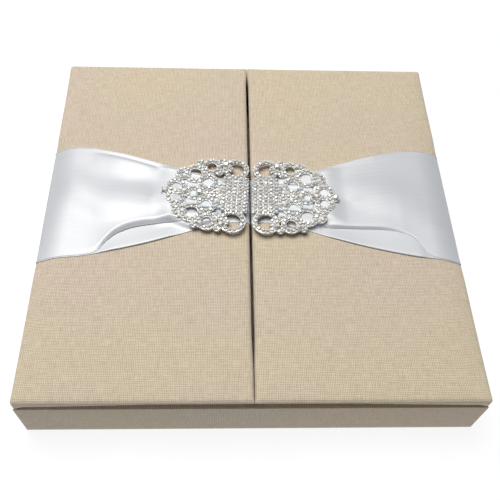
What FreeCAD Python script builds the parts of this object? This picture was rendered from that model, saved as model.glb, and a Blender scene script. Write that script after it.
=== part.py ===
"""Keepsake box with two padded doors, satin ribbons and an openwork clasp.

Frame: origin under the middle of the base, +X to the right, +Y to the back, +Z up, in millimetres.
The box is mirrored about the seam between its doors, so every piece that comes in a pair is made
once, on the right, and mirrored to the left.
"""
import FreeCAD
import Part
import Sketcher
import math
import os
import re

# Driving sizes: alias, value in millimetres or degrees, what it measures
SIZES = [
    ("caseWidth", 178.0, "width over the covering cloth"),
    ("trayDepth", 178.8, "depth of the tray over its cloth"),
    ("trayHeight", 22.3, "height of the tray rim above the table"),
    ("doorInset", 0.2, "tray standing proud of the doors at the front and the back"),
    ("seamGap", 1.2, "gap between the two doors"),
    ("doorLift", 0.5, "gap between the rim and a closed door"),
    ("board", 2.0, "thickness of every greyboard"),
    ("foam", 3.0, "thickness of a door's foam pad"),
    ("cloth", 0.4, "thickness of the covering cloth and linings"),
    ("cornerRound", 1.0, "radius of a door's corners in plan"),
    ("padRound", 2.8, "radius of a door's padded top edge"),
    ("turnIn", 15.0, "cloth turned in under a door board"),
    ("liningGap", 0.3, "clearance round a door's lining sheet"),
    ("magnetLength", 20.0, "length of a bar magnet"),
    ("magnetWidth", 4.0, "width of a bar magnet"),
    ("magnetSpread", 110.0, "distance between the middles of a door's two magnets"),
    ("ribbon", 0.3, "thickness of the satin ribbon"),
    ("ribbonWidth", 60.0, "full width of the ribbon"),
    ("gatherWidth", 24.0, "width of the ribbon tucked together at the seam"),
    ("gatherReach", 10.0, "distance from the seam where the ribbon starts to spread"),
    ("spreadInset", 19.0, "distance from a door's outer edge where the ribbon is full width"),
    ("spreadRound", 90.0, "radius that eases the ribbon into its full width"),
    ("ribbonShift", 3.4, "ribbon and clasp behind the middle of the box"),
    ("hemLift", 0.6, "height of the ribbon's lower end above the table"),
    ("tuckHeight", 0.9, "height of the ribbon's folded lip"),
    ("tuckHeel", 7.0, "width over which the folded lip dies away"),
    ("tuckGap", 0.3, "clearance between the folded lip and the clasp"),
    ("tuckStartBand", 5.4, "single ribbon below the lip beside the clasp"),
    ("tuckKneeBand", 10.8, "single ribbon below the lip at its knee"),
    ("tuckEndBand", 1.5, "single ribbon below the lip at its end"),
    ("tuckKnee", 37.0, "distance from a door's outer edge to the knee of the lip"),
    ("tuckEnd", 23.0, "distance from a door's outer edge to the end of the lip"),
    ("tuckFade", 0.5, "height and width of the lip at its end against the rest of it"),
    ("claspGap", 1.0, "gap between the two clasp halves"),
    ("strip", 2.9, "width of the clasp's metal strips"),
    ("frame", 1.5, "thickness of the clasp's metal frame"),
    ("fieldWidth", 11.5, "width of the solid field beside the seam"),
    ("fieldHeight", 19.4, "height of the solid field beside the seam"),
    ("seamLoop", 4.6, "radius of the loop beside the seam"),
    ("crownLoop", 3.2, "radius of the loop at the top"),
    ("innerLoop", 3.5, "radius of the loop inside the half"),
    ("shoulderLoop", 3.9, "radius of the loop at the shoulder"),
    ("sideLoop", 2.1, "radius of the loop beside the shoulder"),
    ("tipLoop", 3.1, "radius of the two loops at the tip"),
    ("eyeLoop", 2.7, "radius of the loop behind the tip"),
    ("heartLoop", 2.2, "radius of the loop beside the solid field"),
    ("tipReach", 32.0, "distance from the seam to the middles of the tip loops"),
    ("crownTurn", 4.0, "direction from the seam loop to the crown loop"),
    ("crownSideTurn", 30.0, "direction from the crown loop to the large stone on it"),
    ("meetingTurn", 26.0, "direction from the seam loop to the large stone on it"),
    ("innerTurn", -83.0, "direction from the crown loop to the inner loop"),
    ("shoulderTurn", 36.0, "direction from the inner loop to the shoulder loop"),
    ("sideTurn", -2.0, "direction from the shoulder loop to the side loop"),
    ("padInset", 3.0, "distance from the seam to the pad under a clasp half"),
    ("padLength", 24.0, "length of the pad under a clasp half"),
    ("padHeight", 14.0, "height of the pad under a clasp half"),
    ("padCorner", 3.0, "radius of that pad's corners"),
    ("stone", 1.8, "width of a small stone"),
    ("stoneHeight", 0.8, "height of a small stone"),
    ("largeStone", 3.0, "width of a large stone"),
    ("largeHeight", 1.2, "height of a large stone"),
    ("seatRim", 0.4, "metal round a large stone"),
    ("stoneGap", 0.12, "clearance between two stones"),
]
ALIASES = {alias for alias, _, _ in SIZES}

# Cut of the stones: sides of the outline, and width of the flat top against the whole stone
STONE_SIDES = 6
TABLE_SHARE = 0.6

# Flats round a loop or a seat of the clasp
LOOP_FLATS = 20

doc = FreeCAD.newDocument("keepsake_box")
sheet = doc.addObject("Spreadsheet::Sheet", "sizes")
for row, (alias, value, meaning) in enumerate(SIZES, start=1):
    sheet.set(f"A{row}", meaning)
    sheet.set(f"B{row}", str(value))
    sheet.setAlias(f"B{row}", alias)
doc.recompute()

# Distances from the middle of the box, outside to inside
SPINE = "(caseWidth/2 - cloth)"
TRAY_SIDE = f"({SPINE} - board)"
TRAY_INSIDE = f"({TRAY_SIDE} - board)"
LINED_SIDE = f"({TRAY_INSIDE} - cloth)"
TRAY_END = "(trayDepth/2 - cloth)"
END_INSIDE = f"({TRAY_END} - board)"
LINED_END = f"({END_INSIDE} - cloth)"
DOOR_EDGE = "(seamGap/2)"
DOOR_END = "(trayDepth/2 - doorInset)"
SPREAD = "(caseWidth/2 - spreadInset)"

# Heights above the table, low to high
BASE_TOP = "(cloth + board)"
FLOOR_TOP = f"({BASE_TOP} + board)"
RIM_BOARD = "(trayHeight - cloth)"
DOOR_BOTTOM = "(trayHeight + doorLift)"
DOOR_INSIDE = f"({DOOR_BOTTOM} + cloth)"
FOAM_BOTTOM = f"({DOOR_INSIDE} + board)"
FOAM_TOP = f"({FOAM_BOTTOM} + foam)"
DOOR_TOP = f"({FOAM_TOP} + cloth)"
RIBBON_TOP = f"({DOOR_TOP} + ribbon)"
CLASP_PAD = "(tuckHeight + tuckGap)"
FRAME_BOTTOM = f"({RIBBON_TOP} + {CLASP_PAD})"

parts = {}


def bind(item, prop, formula):
    """Tie a property to a formula written in the aliases of the sheet."""
    def cell(word):
        return "sizes." + word[0] if word[0] in ALIASES else word[0]
    item.setExpression(prop, re.sub(r"[A-Za-z]+", cell, formula))


def size(alias):
    """The present value of a driving size."""
    return float(sheet.get(alias))


def put(item, x, y, z):
    """Tie the place of an object to three formulas."""
    bind(item, "Placement.Base.x", x)
    bind(item, "Placement.Base.y", y)
    bind(item, "Placement.Base.z", z)


def keep(node, item):
    """Name an object as a sub-part of the box."""
    item.Label = node
    parts[node] = item


def keep_pair(piece, item):
    """Name a right-hand piece and make its left-hand twin."""
    keep("right_" + piece, item)
    twin = doc.addObject("Part::Mirroring", "left_" + piece)
    twin.Source = item
    twin.Normal = FreeCAD.Vector(1, 0, 0)
    keep("left_" + piece, twin)


def block(name, low, high):
    """A box between two corners, each given as three formulas."""
    item = doc.addObject("Part::Box", name)
    for prop, start, stop in zip(("Length", "Width", "Height"), low, high):
        bind(item, prop, f"({stop}) - ({start})")
    put(item, *low)
    return item


def cut(name, base, tool):
    """One object with another taken out of it."""
    item = doc.addObject("Part::Cut", name)
    item.Base = base
    item.Tool = tool
    return item


def fuse(name, items):
    """Several objects as one."""
    item = doc.addObject("Part::MultiFuse", name)
    item.Shapes = items
    item.Refine = True
    return item


def upright_edges(shape):
    """Names of a slab's edges that run straight up."""
    names = []
    for number, edge in enumerate(shape.Edges, start=1):
        rise = abs(edge.Vertexes[0].Z - edge.Vertexes[-1].Z)
        if math.isclose(rise, edge.Length, rel_tol=1e-6):
            names.append(f"Edge{number}")
    return names


def top_edges(shape):
    """Names of the edges round a slab's top face."""
    top = max(vertex.Z for vertex in shape.Vertexes)
    names = []
    for number, edge in enumerate(shape.Edges, start=1):
        if all(math.isclose(vertex.Z, top, abs_tol=1e-6) for vertex in edge.Vertexes):
            names.append(f"Edge{number}")
    return names


def round_edges(body, base, edges, radius):
    """Fillet some edges of a body's last feature."""
    fillet = body.newObject("PartDesign::Fillet", body.Name + "_round")
    fillet.Base = (base, edges)
    bind(fillet, "Radius", radius)
    body.Tip = fillet
    doc.recompute()
    return fillet


def plate(name, corners, thickness):
    """A body padded up from a closed outline, whose corners are pairs of formulas."""
    body = doc.addObject("PartDesign::Body", name)
    sketch = body.newObject("Sketcher::SketchObject", name + "_outline")
    ground = next(plane for plane in body.Origin.OriginFeatures if plane.Role == "XY_Plane")
    sketch.AttachmentSupport = [(ground, "")]
    sketch.MapMode = "FlatFace"
    count = len(corners)
    turns = [math.tau * n / count for n in range(count)]
    ring = [FreeCAD.Vector(math.cos(turn), math.sin(turn), 0) for turn in turns]
    for n in range(count):
        sketch.addGeometry(Part.LineSegment(ring[n], ring[(n + 1) % count]), False)
    for n in range(count):
        sketch.addConstraint(Sketcher.Constraint("Coincident", n, 2, (n + 1) % count, 1))
    for n, (x, y) in enumerate(corners):
        for kind, place, formula in (("DistanceX", ring[n].x, x), ("DistanceY", ring[n].y, y)):
            index = sketch.addConstraint(Sketcher.Constraint(kind, -1, 1, n, 1, place))
            sketch.renameConstraint(index, f"{kind}{n}")
            bind(sketch, f"Constraints.{kind}{n}", formula)
    pad = body.newObject("PartDesign::Pad", name + "_pad")
    pad.Profile = sketch
    bind(pad, "Length", thickness)
    body.Tip = pad
    doc.recompute()
    return body, pad


def slab(name, low, high, corner, top_round=None):
    """An upright slab between two corners, rounded in plan and, if asked, round its top."""
    half_x = f"(({high[0]}) - ({low[0]}))/2"
    half_y = f"(({high[1]}) - ({low[1]}))/2"
    corners = [(f"-{half_x}", f"-{half_y}"), (half_x, f"-{half_y}"), (half_x, half_y), (f"-{half_x}", half_y)]
    body, pad = plate(name, corners, f"({high[2]}) - ({low[2]})")
    put(body, f"(({low[0]}) + ({high[0]}))/2", f"(({low[1]}) + ({high[1]}))/2", low[2])
    last = round_edges(body, pad, upright_edges(pad.Shape), corner)
    if top_round:
        round_edges(body, last, top_edges(last.Shape), top_round)
    return body


def build_base():
    """Base board and the two spines that stand beside it, each in its cloth."""
    ends = (f"-{TRAY_END}", TRAY_END)
    base = block("base", (f"-{TRAY_SIDE}", ends[0], "cloth"), (TRAY_SIDE, ends[1], BASE_TOP))
    wrap = block("base_wrap", (f"-{TRAY_SIDE}", "-trayDepth/2", "0"), (TRAY_SIDE, "trayDepth/2", BASE_TOP))
    keep("base_board", base)
    keep("base_cloth", cut("base_skin", wrap, base))
    spine = block("spine", (TRAY_SIDE, ends[0], "cloth"), (SPINE, ends[1], RIM_BOARD))
    wrap = block("spine_wrap", (TRAY_SIDE, "-trayDepth/2", "0"), ("caseWidth/2", "trayDepth/2", "trayHeight"))
    keep_pair("spine_board", spine)
    keep_pair("spine_cloth", cut("spine_skin", wrap, spine))
    joint = block("joint", (SPINE, f"-{DOOR_END} + cornerRound", "trayHeight"),
                  ("caseWidth/2", f"{DOOR_END} - cornerRound", DOOR_BOTTOM))
    keep_pair("hinge_cloth", joint)


def layer(end, outer, inner):
    """Low and high limits in depth of a layer of the front or the back wall."""
    return (f"-{outer}", f"-{inner}") if end == "front" else (inner, outer)


def build_tray():
    """Floor and four walls of the tray, with their cloth and linings."""
    low = (f"-{TRAY_INSIDE}", f"-{END_INSIDE}", BASE_TOP)
    high = (TRAY_INSIDE, END_INSIDE, FLOOR_TOP)
    keep("tray_floor", block("floor", low, high))
    low = (f"-{LINED_SIDE}", f"-{LINED_END}", FLOOR_TOP)
    high = (LINED_SIDE, LINED_END, f"{FLOOR_TOP} + cloth")
    keep("floor_lining", block("floor_sheet", low, high))
    for end in ("front", "back"):
        low, high = layer(end, TRAY_END, END_INSIDE)
        wall = block(end + "_board", (f"-{TRAY_SIDE}", low, BASE_TOP), (TRAY_SIDE, high, RIM_BOARD))
        low, high = layer(end, "trayDepth/2", END_INSIDE)
        wrap = block(end + "_wrap", (f"-{TRAY_SIDE}", low, BASE_TOP), (TRAY_SIDE, high, "trayHeight"))
        low, high = layer(end, "trayDepth/2", LINED_END)
        lap = block(end + "_lap", (f"-{TRAY_INSIDE}", low, FLOOR_TOP), (TRAY_INSIDE, high, "trayHeight"))
        keep(f"tray_{end}_wall", wall)
        keep(f"{end}_wall_cloth", cut(end + "_skin", fuse(end + "_folded", [wrap, lap]), wall))
    side = block("side_board", (TRAY_INSIDE, f"-{END_INSIDE}", BASE_TOP), (TRAY_SIDE, END_INSIDE, RIM_BOARD))
    low = (LINED_SIDE, f"-{LINED_END}", FLOOR_TOP)
    lining = block("side_wrap", low, (TRAY_SIDE, LINED_END, "trayHeight"))
    keep_pair("tray_wall", side)
    keep_pair("wall_lining", cut("side_skin", lining, side))


def door_slab(name, margin, bottom, top, rounded):
    """A slab with a door's outline, drawn in on every side by a margin."""
    low = (f"{DOOR_EDGE} + {margin}", f"-{DOOR_END} + {margin}", bottom)
    high = (f"caseWidth/2 - {margin}", f"{DOOR_END} - {margin}", top)
    return slab(name, low, high, f"cornerRound - {margin}", f"padRound - {margin}" if rounded else None)


def build_door():
    """Board, magnets, foam, cloth and lining of a door."""
    outside = door_slab("door_outside", "0", DOOR_BOTTOM, DOOR_TOP, True)
    inside = door_slab("door_inside", "cloth", DOOR_INSIDE, FOAM_TOP, True)
    window = block("door_window", (f"{DOOR_EDGE} + turnIn", f"-{DOOR_END} + turnIn", DOOR_BOTTOM),
                   ("caseWidth/2 - turnIn", f"{DOOR_END} - turnIn", DOOR_INSIDE))
    keep_pair("door_cloth", cut("door_skin", cut("door_hollow", outside, inside), window))
    edge = "turnIn + liningGap"
    low = (f"{DOOR_EDGE} + {edge}", f"-{DOOR_END} + {edge}", DOOR_BOTTOM)
    high = (f"caseWidth/2 - ({edge})", f"{DOOR_END} - ({edge})", DOOR_INSIDE)
    keep_pair("door_lining", block("door_sheet", low, high))
    bars = []
    for place, middle in (("front", "-magnetSpread/2"), ("back", "magnetSpread/2")):
        low = (f"{DOOR_EDGE} + cloth", f"{middle} - magnetLength/2", DOOR_INSIDE)
        high = (f"{DOOR_EDGE} + cloth + magnetWidth", f"{middle} + magnetLength/2", FOAM_BOTTOM)
        bars.append(block(place + "_magnet", low, high))
    magnets = fuse("magnet_pair", bars)
    keep_pair("door_magnets", magnets)
    core = door_slab("door_core", "cloth", DOOR_INSIDE, FOAM_BOTTOM, False)
    keep_pair("door_board", cut("door_notched", core, magnets))
    keep_pair("door_foam", door_slab("door_padding", "cloth", FOAM_BOTTOM, FOAM_TOP, True))
    return outside


def tuck_lip(door):
    """The folded lip along the ribbon's front half: a low wedge that bends forward and dies away."""
    outer = size("caseWidth") / 2
    run = outer - size("spreadInset") - size("gatherReach")
    spread = (size("ribbonWidth") - size("gatherWidth")) / 2 / run
    satin_top = max(vertex.Z for vertex in door.Shape.Vertexes) + size("ribbon")
    clasp_side = size("padInset") + size("padLength") + size("tuckGap")
    stations = (
        (clasp_side, size("tuckStartBand"), 1.0),
        (outer - size("tuckKnee"), size("tuckKneeBand"), 1.0),
        (outer - size("tuckEnd"), size("tuckEndBand"), size("tuckFade")),
    )
    sections = []
    for reach, band, share in stations:
        edge = size("gatherWidth") / 2 + (reach - size("gatherReach")) * spread
        lip = size("ribbonShift") - edge + band
        heel = FreeCAD.Vector(reach, lip + share * size("tuckHeel"), satin_top)
        foot = FreeCAD.Vector(reach, lip, satin_top)
        crest = FreeCAD.Vector(reach, lip, satin_top + share * size("tuckHeight"))
        sections.append(Part.makePolygon([heel, foot, crest, heel]))
    item = doc.addObject("Part::Feature", "tuck")
    item.Shape = Part.makeLoft(sections, True, True)
    return item


def build_ribbon(door):
    """Satin over a door, from its meeting edge to its outer edge, and its tail down the spine."""
    low = (f"{DOOR_EDGE} - ribbon", f"-{DOOR_END}", DOOR_BOTTOM)
    high = ("caseWidth/2 + ribbon", DOOR_END, RIBBON_TOP)
    sheath = cut("satin_sheath", slab("satin_outside", low, high, "cornerRound", "padRound + ribbon"), door)
    outer = "caseWidth/2 + 2*ribbon"
    half = [("0", "gatherWidth/2"), ("gatherReach", "gatherWidth/2"), (SPREAD, "ribbonWidth/2"),
            (outer, "ribbonWidth/2")]
    corners = [(x, f"-{y}") for x, y in half] + list(reversed(half))
    body, pad = plate("satin_outline", corners, f"{RIBBON_TOP} + ribbon")
    put(body, "0", "ribbonShift", "0")
    bend = size("caseWidth") / 2 - size("spreadInset")
    bends = [name for name in upright_edges(pad.Shape)
             if math.isclose(pad.Shape.getElement(name).Vertexes[0].X, bend, abs_tol=1e-6)]
    round_edges(body, pad, bends, "spreadRound")
    trimmed = doc.addObject("Part::Common", "satin_trimmed")
    trimmed.Base = sheath
    trimmed.Tool = body
    keep_pair("ribbon", fuse("satin", [trimmed, tuck_lip(door)]))
    keep_pair("ribbon_tail", block("satin_tail", ("caseWidth/2", "ribbonShift - ribbonWidth/2", "hemLift"),
                                   ("caseWidth/2 + ribbon", "ribbonShift + ribbonWidth/2", "trayHeight")))


def disc(name, place, radius):
    """A round plate of the frame's thickness, at a place given from the middle of the clasp."""
    item = doc.addObject("Part::Prism", name)
    item.Polygon = LOOP_FLATS
    bind(item, "Circumradius", radius)
    bind(item, "Height", "frame")
    put(item, place[0], f"ribbonShift + {place[1]}", FRAME_BOTTOM)
    return item


def loop(name, place, radius):
    """A ring of metal strip, with its middle line at a radius."""
    return cut(name, disc(name + "_rim", place, f"{radius} + strip/2"),
               disc(name + "_hole", place, f"{radius} - strip/2"))


def step(place, distance, turn):
    """The place at a distance from another, in a direction in degrees."""
    return f"({place[0]} + ({distance})*cos({turn}))", f"({place[1]} + ({distance})*sin({turn}))"


def clasp_loops():
    """Names, places and radii of the loops in the back half and on the axis of a clasp half.

    Each loop is set against the one before it, so that the strips always meet.
    """
    field_edge = "(claspGap/2 + fieldWidth)"
    seam = ("(claspGap/2 + strip/2 + seamLoop)", "(fieldHeight/2 + seamLoop)")
    crown = step(seam, "seamLoop + crownLoop + strip", "crownTurn")
    inner = step(crown, "crownLoop + innerLoop + strip*3/4", "innerTurn")
    shoulder = step(inner, "innerLoop + shoulderLoop", "shoulderTurn")
    side = step(shoulder, "shoulderLoop + sideLoop - strip/4", "sideTurn")
    heart = (f"({field_edge} + heartLoop)", "(heartLoop + strip/4)")
    tip = ("tipReach", "tipLoop")
    eye = ("(tipReach - tipLoop - eyeLoop - strip*2/3)", "0")
    paired = {"seam": seam, "crown": crown, "inner": inner, "shoulder": shoulder, "side": side,
              "heart": heart, "tip": tip}
    return paired, {"eye": eye}


def build_frame():
    """Openwork metal of a clasp half: a solid field, loops of strip, a stem and seats for large stones."""
    paired, single = clasp_loops()
    loops = []
    for name, (u, v) in paired.items():
        for half, sign in (("back", "+"), ("front", "-")):
            loops.append(loop(f"{name}_{half}", (u, f"({sign}1)*{v}"), name + "Loop"))
    for name, place in single.items():
        loops.append(loop(name, place, name + "Loop"))
    field = block("field", ("claspGap/2", "ribbonShift - fieldHeight/2", FRAME_BOTTOM),
                  ("claspGap/2 + fieldWidth", "ribbonShift + fieldHeight/2", f"{FRAME_BOTTOM} + frame"))
    stem_end = f"{single['eye'][0]} - eyeLoop"
    stem = block("stem", ("claspGap/2 + fieldWidth - strip/2", "ribbonShift - strip/2", FRAME_BOTTOM),
                 (stem_end, "ribbonShift + strip/2", f"{FRAME_BOTTOM} + frame"))
    meeting = step(paired["seam"], "seamLoop + strip/5", "meetingTurn")
    crown_side = step(paired["crown"], "crownLoop", "crownSideTurn")
    seats = []
    for name, (u, v) in (("meeting", meeting), ("crown_side", crown_side)):
        for half, sign in (("back", "+"), ("front", "-")):
            seats.append(disc(f"{name}_seat_{half}", (u, f"({sign}1)*{v}"), "largeStone/2 + seatRim"))
    on_axis = {"tip": "tipReach + tipLoop + strip*3/5", "eye": "tipReach - tipLoop - strip/4",
               "stem": stem_end}
    for name, u in on_axis.items():
        seats.append(disc(name + "_seat", (u, "0"), "largeStone/2 + seatRim"))
    keep_pair("clasp_frame", fuse("clasp_openwork", loops + seats + [field, stem]))
    doc.recompute()
    return loops, seats, field, stem


def cut_stone(width, height):
    """A faceted stone that stands on its flat back at the origin."""
    turns = [math.tau * n / STONE_SIDES for n in range(STONE_SIDES)]
    back = [FreeCAD.Vector(width / 2 * math.cos(turn), width / 2 * math.sin(turn), 0) for turn in turns]
    table = [point * TABLE_SHARE + FreeCAD.Vector(0, 0, height) for point in back]
    outlines = [back[::-1], table]
    for n in range(STONE_SIDES):
        after = (n + 1) % STONE_SIDES
        outlines.append([back[n], back[after], table[after], table[n]])
    facets = [Part.Face(Part.makePolygon(outline + outline[:1])) for outline in outlines]
    return Part.makeSolid(Part.makeShell(facets))


def stone_rows(loops, field, stem):
    """Places to try for small stones: over the field, along the stem and round every loop."""
    pitch = size("stone") + size("stoneGap")
    for item in (field, stem):
        corner = item.Placement.Base
        columns = int(item.Length.Value / pitch)
        rows = int(item.Width.Value / pitch)
        for column in range(columns):
            for line in range(rows):
                yield (corner.x + item.Length.Value * (column + 0.5) / columns,
                       corner.y + item.Width.Value * (line + 0.5) / rows)
    for item in loops:
        centre = item.Base.Placement.Base
        radius = (item.Base.Circumradius.Value + item.Tool.Circumradius.Value) / 2
        for degrees in range(360):
            turn = math.radians(degrees)
            yield centre.x + radius * math.cos(turn), centre.y + radius * math.sin(turn)


def build_stones(loops, seats, field, stem):
    """Stones on a clasp half's frame, with large ones on the round seats.

    The front half of the pattern repeats the back half.
    """
    top = field.Placement.Base.z + field.Height.Value
    axis = size("ribbonShift")
    gap = size("stoneGap")
    placed = []
    solids = []

    def set_stone(pattern, x, y, radius):
        rise = abs(y - axis)
        on_axis = math.isclose(rise, 0, abs_tol=1e-6)
        clear = all(math.hypot(x - px, rise - py) >= radius + pr + gap for px, py, pr in placed)
        if not clear or (not on_axis and rise < radius + gap / 2):
            return
        placed.append((x, rise, radius))
        for level in (axis,) if on_axis else (axis + rise, axis - rise):
            solids.append(pattern.translated(FreeCAD.Vector(x, level, top)))

    large = cut_stone(size("largeStone"), size("largeHeight"))
    for seat in seats:
        set_stone(large, seat.Placement.Base.x, seat.Placement.Base.y, size("largeStone") / 2)
    small = cut_stone(size("stone"), size("stoneHeight"))
    for x, y in stone_rows(loops, field, stem):
        set_stone(small, x, y, size("stone") / 2)
    item = doc.addObject("Part::Feature", "stones")
    item.Shape = Part.makeCompound(solids)
    keep_pair("clasp_stones", item)


def build_clasp():
    """Both halves of the clasp: pad, openwork frame and stones."""
    low = ("padInset", "ribbonShift - padHeight/2", RIBBON_TOP)
    high = ("padInset + padLength", "ribbonShift + padHeight/2", FRAME_BOTTOM)
    keep_pair("clasp_pad", slab("clasp_cushion", low, high, "padCorner"))
    build_stones(*build_frame())


def export():
    """Check every object and write one file for each sub-part."""
    doc.recompute()
    failed = [item.Label for item in doc.Objects if "Invalid" in item.State or "Error" in item.State]
    if failed:
        raise RuntimeError("failed objects: " + ", ".join(failed))
    for node, item in parts.items():
        if item.Shape.isNull() or not item.Shape.isValid() or item.Shape.Volume <= 0:
            raise RuntimeError("bad shape: " + node)
    os.makedirs("parts", exist_ok=True)
    for node, item in parts.items():
        item.Shape.exportStep(f"parts/{node}.step")
        print(f"{node}: {len(item.Shape.Solids)} solids, {item.Shape.Volume:.1f} cubic mm")


build_base()
build_tray()
build_ribbon(build_door())
build_clasp()
export()
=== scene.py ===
"""Linen keepsake box with padded doors, satin ribbons and a stone-set clasp, dressed over its CAD frame."""
import math
import random

import bmesh
import bpy
from mathutils import Matrix, Vector, noise
from mathutils.bvhtree import BVHTree
from mathutils.kdtree import KDTree


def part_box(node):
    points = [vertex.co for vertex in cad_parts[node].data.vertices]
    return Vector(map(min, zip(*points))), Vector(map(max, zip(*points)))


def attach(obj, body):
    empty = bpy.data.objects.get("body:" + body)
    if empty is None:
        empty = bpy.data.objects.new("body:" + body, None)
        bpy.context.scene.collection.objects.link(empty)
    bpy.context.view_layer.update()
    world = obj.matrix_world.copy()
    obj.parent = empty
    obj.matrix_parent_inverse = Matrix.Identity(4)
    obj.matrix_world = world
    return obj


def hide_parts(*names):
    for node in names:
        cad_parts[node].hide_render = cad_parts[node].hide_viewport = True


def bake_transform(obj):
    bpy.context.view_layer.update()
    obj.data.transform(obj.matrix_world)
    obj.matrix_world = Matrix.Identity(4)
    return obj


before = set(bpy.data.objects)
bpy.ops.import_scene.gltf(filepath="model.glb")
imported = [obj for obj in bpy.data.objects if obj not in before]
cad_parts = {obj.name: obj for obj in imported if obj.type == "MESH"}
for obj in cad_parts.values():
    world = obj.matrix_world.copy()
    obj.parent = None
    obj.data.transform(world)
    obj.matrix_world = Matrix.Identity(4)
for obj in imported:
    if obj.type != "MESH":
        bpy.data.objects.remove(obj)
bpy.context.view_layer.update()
# Metres in a millimetre. Lengths are in millimetres where nothing else is said.
MM = 0.001
# Places closer than this count as the same
NEAR = 0.01
# A difference too small to matter, in metres
HAIR = 1e-7
# Corners of a CAD mesh closer than this are one
WELD = 0.004
# An edge with more than this angle between its faces is sharp, in radians
SHARP = 0.4


# Tools

def mode(kind):
    """Change to object or edit mode."""
    bpy.ops.object.mode_set(mode=kind)


def clear_selection():
    """Leave edit mode and deselect everything."""
    if bpy.context.mode != "OBJECT":
        mode("OBJECT")
    bpy.ops.object.select_all(action="DESELECT")


def focus(piece):
    """Make a piece the only one that the next operator acts on."""
    clear_selection()
    piece.select_set(True)
    bpy.context.view_layer.objects.active = piece


def span(node):
    """Lowest and highest corner of a CAD node."""
    low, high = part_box(node)
    return Vector(low) / MM, Vector(high) / MM


def put_in(name, data):
    """A new object in the scene."""
    made = bpy.data.objects.new(name, data)
    bpy.context.scene.collection.objects.link(made)
    return made


def named(name):
    """The piece just made, under its name."""
    piece = bpy.context.object
    piece.name = piece.data.name = name
    return piece


def block(name, low, high):
    """A box between two corners, as the start of a piece."""
    clear_selection()
    middle = [(a + b) / 2 * MM for a, b in zip(low, high)]
    extent = [(b - a) * MM for a, b in zip(low, high)]
    bpy.ops.mesh.primitive_cube_add(size=1, location=middle, scale=extent)
    bpy.ops.object.transform_apply()
    return named(name)


def pick(piece, kind, wanted):
    """In edit mode, select the edges or faces that a test on them wants."""
    focus(piece)
    mode("EDIT")
    bpy.ops.mesh.select_mode(type=kind)
    bpy.ops.mesh.select_all(action="DESELECT")
    mesh = bmesh.from_edit_mesh(piece.data)
    for item in mesh.edges if kind == "EDGE" else mesh.faces:
        if wanted(item):
            item.select_set(True)
    mesh.select_flush_mode()
    bmesh.update_edit_mesh(piece.data)


def upright(edge):
    """Whether an edge stands straight up."""
    first, second = (vertex.co for vertex in edge.verts)
    return (first.xy - second.xy).length < HAIR


def level(height):
    """A test for edges that lie at a height."""
    return lambda edge: all(abs(vertex.co.z / MM - height) < NEAR for vertex in edge.verts)


def round_edges(piece, wanted, radius, segments=3):
    """Round the wanted edges of a piece to a radius."""
    pick(piece, "EDGE", wanted)
    bpy.ops.mesh.bevel(offset=radius * MM, segments=segments, affect="EDGES")
    mode("OBJECT")


def extrude(piece, wanted, move):
    """Draw the wanted faces of a piece out by a move in metres."""
    pick(piece, "FACE", wanted)
    bpy.ops.mesh.extrude_region_move(TRANSFORM_OT_translate={"value": move})
    mode("OBJECT")


def slice_up(piece, axis, places):
    """Cut across a piece at places along an axis, so that it can be shaped between them."""
    focus(piece)
    mode("EDIT")
    for place in places:
        point = [0, 0, 0]
        normal = [0, 0, 0]
        point[axis] = place * MM
        normal[axis] = 1
        bpy.ops.mesh.select_all(action="SELECT")
        bpy.ops.mesh.bisect(plane_co=point, plane_no=normal, threshold=HAIR)
    mode("OBJECT")


def steps(first, last, pitch):
    """Places between two ends, about a pitch apart, without the ends."""
    count = max(2, round(abs(last - first) / pitch))
    return [first + (last - first) * n / count for n in range(1, count)]


def smooth(piece, degrees=35):
    """Shade a piece smoothly, apart from edges sharper than an angle."""
    focus(piece)
    bpy.ops.object.shade_smooth_by_angle(angle=math.radians(degrees))


def apply_modifiers(piece):
    """Apply every modifier of a piece in turn."""
    focus(piece)
    for modifier in list(piece.modifiers):
        bpy.ops.object.modifier_apply(modifier=modifier.name)


def mirrored(piece, name):
    """A copy of a right-hand piece for the left side."""
    focus(piece)
    bpy.ops.object.duplicate()
    copy = named(name)
    for vertex in copy.data.vertices:
        vertex.co.x = -vertex.co.x
    copy.data.flip_normals()
    return copy


def cad_copy(node, name):
    """A copy of a CAD node with its facets merged, to be worked on."""
    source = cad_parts[node]
    piece = put_in(name, source.data.copy())
    piece.data.transform(source.matrix_world)
    piece.data.name = name
    focus(piece)
    mode("EDIT")
    bpy.ops.mesh.select_all(action="SELECT")
    bpy.ops.mesh.remove_doubles(threshold=WELD * MM)
    bpy.ops.mesh.dissolve_limited(angle_limit=math.radians(1))
    mode("OBJECT")
    return piece


def lay_cloth_map(piece):
    """Map a piece in metres, from the side that each face looks to, for the threads of its cloth."""
    mesh = piece.data
    for layer in list(mesh.uv_layers):
        mesh.uv_layers.remove(layer)
    layer = mesh.uv_layers.new(name="cloth")
    for polygon in mesh.polygons:
        facing = max(range(3), key=lambda n: abs(polygon.normal[n]))
        across, along = ((1, 2), (0, 2), (0, 1))[facing]
        for corner in polygon.loop_indices:
            place = mesh.vertices[mesh.loops[corner].vertex_index].co
            layer.data[corner].uv = (place[across], place[along])


def dress(piece, material, slot, *nodes):
    """Give a piece its only material and hide the CAD nodes it stands for."""
    piece.data.materials.clear()
    piece.data.materials.append(material)
    if nodes:
        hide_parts(*nodes)


# Materials

# Width of one band of a wave texture at scale 1
BAND = math.tau / 20
# Threads and slubs of the linen: pitch, length and share of its relief
THREAD, THREAD_RUN, THREAD_SHARE = 0.45, 4.5, 0.86
SLUB, SLUB_RUN, SLUB_SHARE = 0.7, 22, 0.14
# How even the threads are, from 0 to 1, and how far warmer and cooler areas of the linen reach
EVEN = 0.42
DRIFT = 60
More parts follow.
